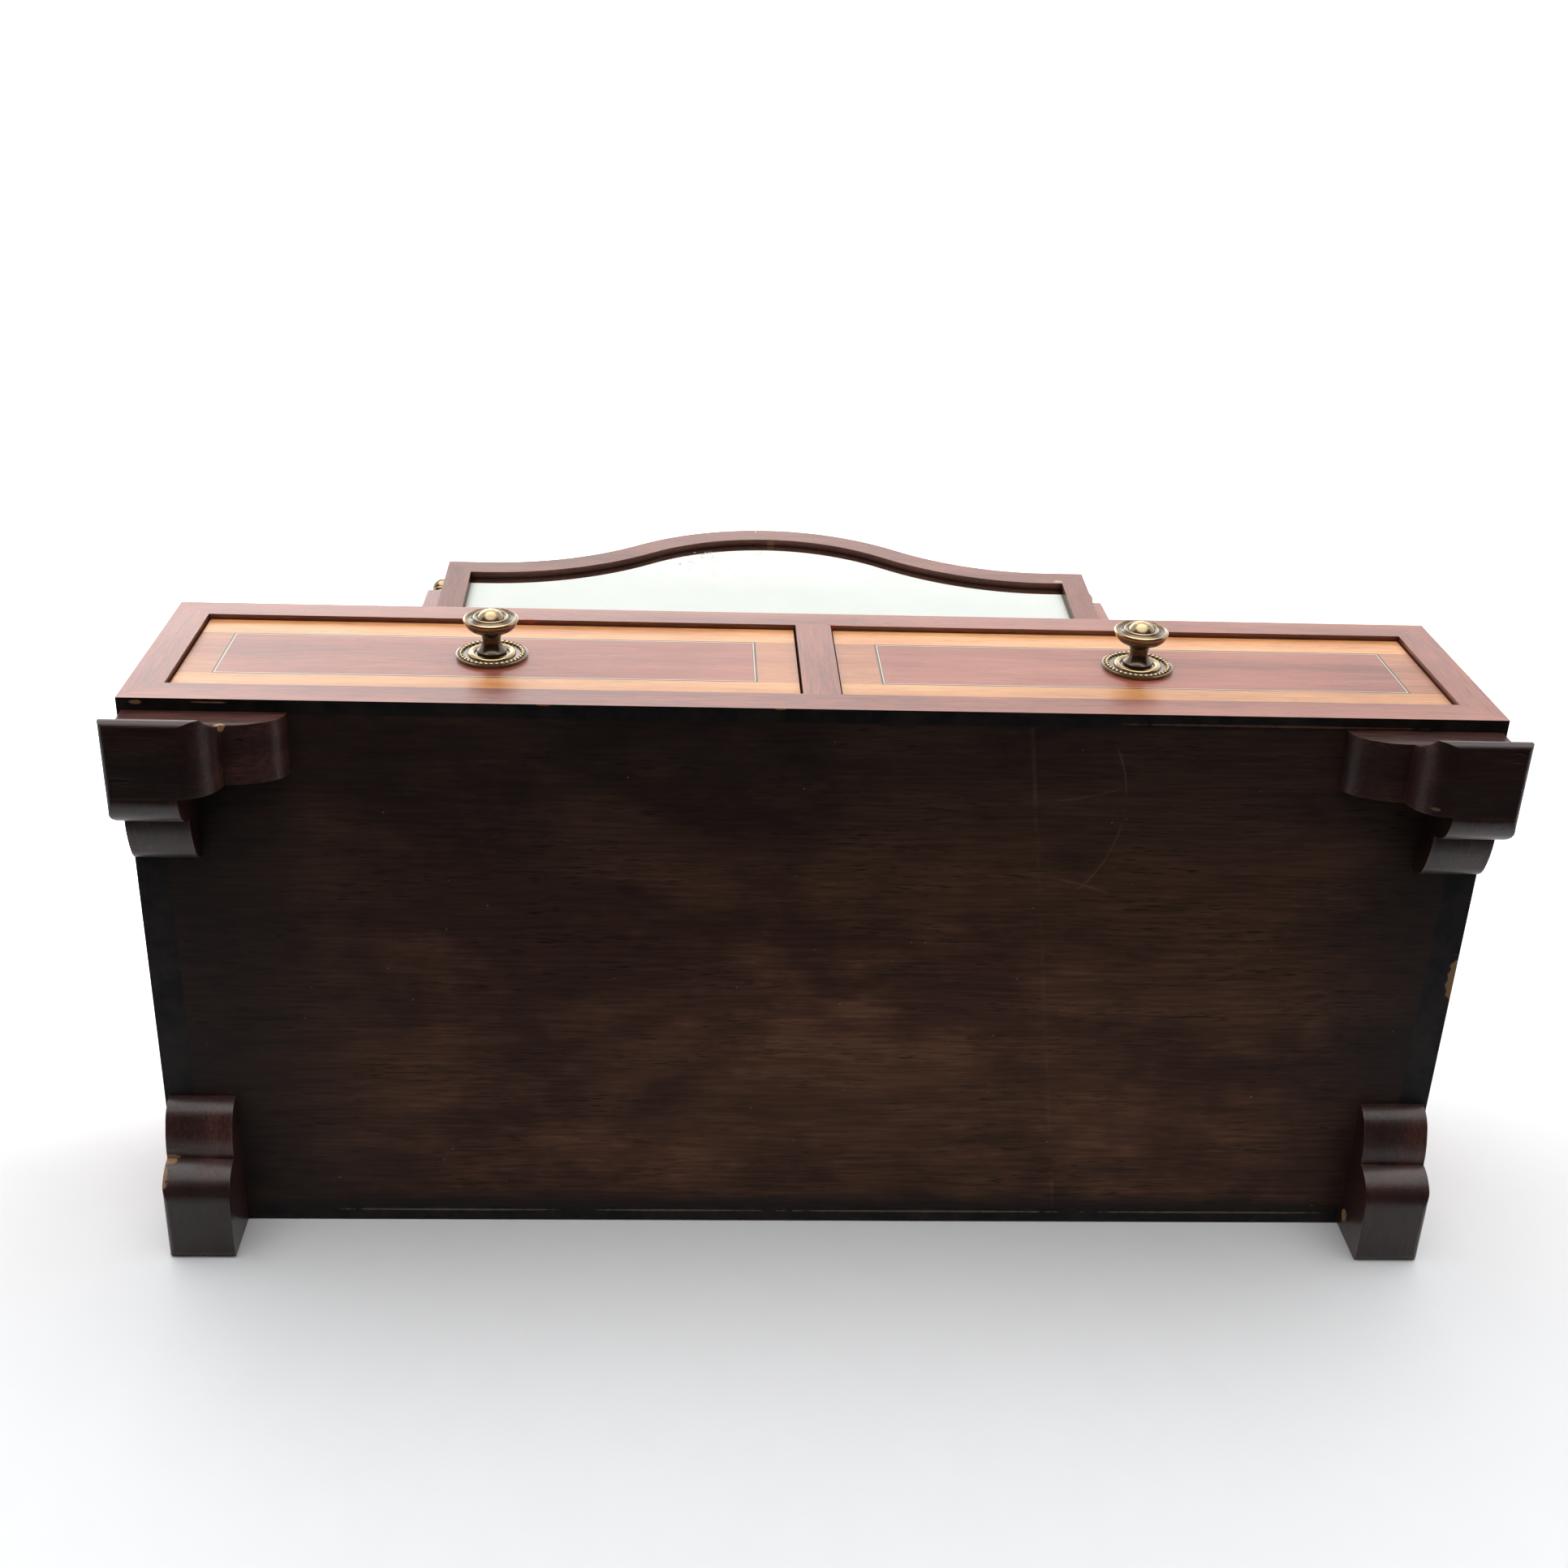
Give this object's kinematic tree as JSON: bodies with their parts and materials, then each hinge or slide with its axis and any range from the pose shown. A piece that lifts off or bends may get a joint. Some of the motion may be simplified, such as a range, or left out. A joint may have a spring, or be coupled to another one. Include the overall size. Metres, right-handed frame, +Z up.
{
  "type": "toilet mirror with drawers",
  "caption": "Dressing-table swing mirror with a serpentine top, held between posts on a low inlaid box with drawers, brass knobs and bracket feet.",
  "frame": {"origin": "on the floor under the feet, centred under the whole object in X and Y, drawer knobs included", "axes": "+Z up, the drawer fronts face -Y, +X to the right when facing the object's back from its front"},
  "size_m": [0.45, 0.22, 0.5582],
  "materials": {
    "mahogany": "satin french polish",
    "foot_mahogany": "dark satin polish, worn edges",
    "panel_mahogany": "satin polish",
    "banding_satinwood": "satin polish",
    "stringing": "dark and light line, polished",
    "antique_brass": "aged, polished on the high spots",
    "mirror_glass": "old silvering, greyed at the edges",
    "underside_stained": "dark stain, dry and rubbed",
    "secondary_wood": "bare softwood, aged",
    "drawer_lining_wood": "bare wood, aged"
  },
  "bodies": {
    "case": {"back_board": "secondary_wood", "bottom_board": "underside_stained", "centre_partition": "secondary_wood", "drawer_guides": "secondary_wood", "drawer_kickers": "secondary_wood", "drawer_runners": "secondary_wood", "drawer_stops": "secondary_wood", "finial_left": "antique_brass", "finial_right": "antique_brass", "foot_front_left": "foot_mahogany", "foot_front_left_wing": "foot_mahogany", "foot_front_right": "foot_mahogany", "foot_front_right_wing": "foot_mahogany", "foot_rear_left": "foot_mahogany", "foot_rear_right": "foot_mahogany", "front_divider": "mahogany", "front_rail_bottom": "mahogany", "front_rail_top": "mahogany", "front_stile_left": "mahogany", "front_stile_right": "mahogany", "side_left": "mahogany", "side_right": "mahogany", "top_board": "mahogany", "upright_left": "mahogany", "upright_right": "mahogany"},
    "drawer_left": {"drawer_left_back": "drawer_lining_wood", "drawer_left_backplate": "antique_brass", "drawer_left_bands_end": "banding_satinwood", "drawer_left_bands_long": "banding_satinwood", "drawer_left_bottom": "drawer_lining_wood", "drawer_left_front": "drawer_lining_wood", "drawer_left_knob": "antique_brass", "drawer_left_nut": "antique_brass", "drawer_left_panel": "panel_mahogany", "drawer_left_side_l": "drawer_lining_wood", "drawer_left_side_r": "drawer_lining_wood", "drawer_left_stringing": "stringing"},
    "drawer_right": {"drawer_right_back": "drawer_lining_wood", "drawer_right_backplate": "antique_brass", "drawer_right_bands_end": "banding_satinwood", "drawer_right_bands_long": "banding_satinwood", "drawer_right_bottom": "drawer_lining_wood", "drawer_right_front": "drawer_lining_wood", "drawer_right_knob": "antique_brass", "drawer_right_nut": "antique_brass", "drawer_right_panel": "panel_mahogany", "drawer_right_side_l": "drawer_lining_wood", "drawer_right_side_r": "drawer_lining_wood", "drawer_right_stringing": "stringing"},
    "mirror": {"backing_blocks": "secondary_wood", "mirror_backing": "secondary_wood", "mirror_glass": "mirror_glass", "mirror_rail_bottom": "mahogany", "mirror_rail_top": "mahogany", "mirror_stile_left": "mahogany", "mirror_stile_right": "mahogany", "pivot_collars": "antique_brass", "pivot_pin_left": "antique_brass", "pivot_pin_right": "antique_brass", "pivot_plates": "antique_brass"}
  },
  "joints": [
    {"name": "drawer_left_slide", "type": "slide", "parent": "case", "child": "drawer_left", "axis": [0, -1, 0], "range_m": [0, 0.15]},
    {"name": "drawer_right_slide", "type": "slide", "parent": "case", "child": "drawer_right", "axis": [0, -1, 0], "range_m": [0, 0.15]},
    {"name": "mirror_tilt", "type": "hinge", "parent": "case", "child": "mirror", "pos_m": [0, 0.051, 0.313], "axis": [1, 0, 0], "range_deg": [-55, 25]}
  ]
}
